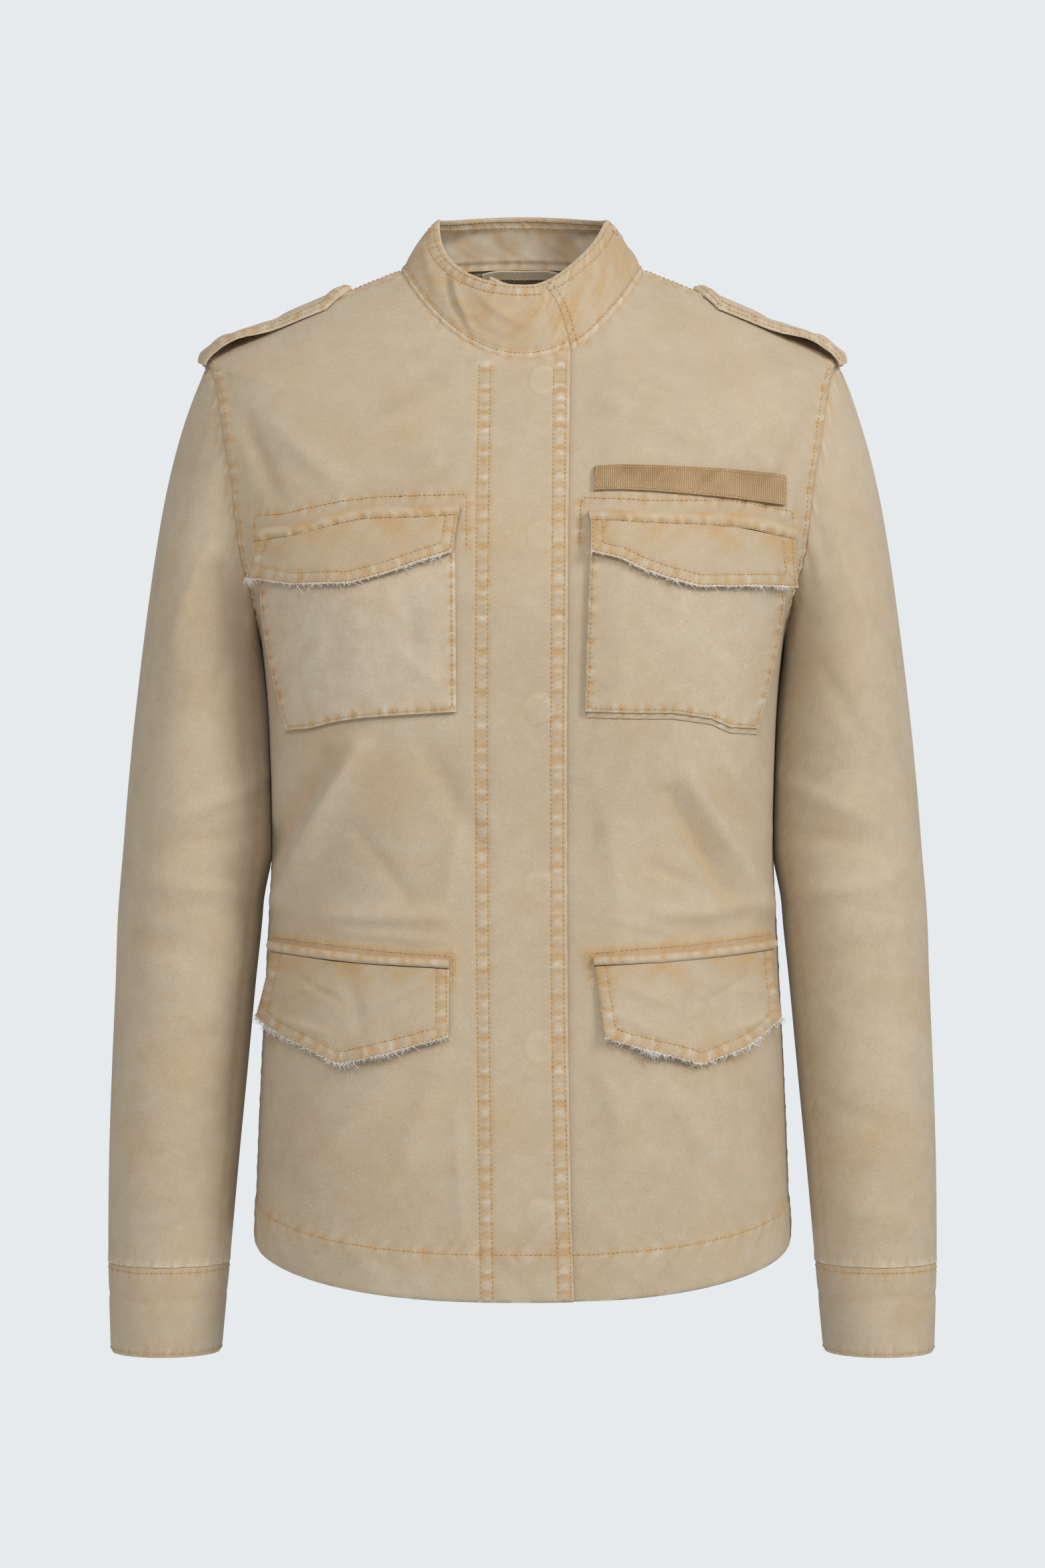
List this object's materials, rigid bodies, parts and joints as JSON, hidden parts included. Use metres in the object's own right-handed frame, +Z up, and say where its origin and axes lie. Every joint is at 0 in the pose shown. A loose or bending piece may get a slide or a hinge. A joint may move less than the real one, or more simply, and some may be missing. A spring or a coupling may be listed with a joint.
{
  "type": "field jacket",
  "caption": "Hip-length field jacket in washed twill with stand collar, covered snap fly, shoulder straps, chest patch pockets and hip flap pockets, filled out as if worn.",
  "frame": {"origin": "midway between the two side neck points, where the shoulder seams meet the collar seam", "axes": "+Z up along the wearer's neck, -Y forward out of the chest, +X to the wearer's left"},
  "size_m": [0.5184, 0.2506, 0.717],
  "materials": {
    "twill": "washed sand cotton twill, brushed by wear at its edges, with pale yellow-brown topstitching",
    "webbing": "darker tan ribbed cotton tape",
    "snap_metal": "dull snap fasteners, hidden between the lapped fronts"
  },
  "bodies": {
    "root": {"back": "twill", "chest_band_left": "twill", "chest_band_right": "twill", "chest_flap_left": "twill", "chest_flap_right": "twill", "chest_pocket_left": "twill", "chest_pocket_right": "twill", "collar": "twill", "cuff_left": "twill", "cuff_right": "twill", "front_left": "twill", "front_right": "twill", "hanger_loop": "twill", "hip_flap_left": "twill", "hip_flap_right": "twill", "hip_welt_left": "twill", "hip_welt_right": "twill", "shoulder_strap_left": "twill", "shoulder_strap_right": "twill", "sleeve_left": "twill", "sleeve_right": "twill", "name_tape": "webbing", "snap_1": "snap_metal", "snap_2": "snap_metal", "snap_3": "snap_metal", "snap_4": "snap_metal", "snap_5": "snap_metal", "snap_6": "snap_metal"}
  },
  "joints": []
}
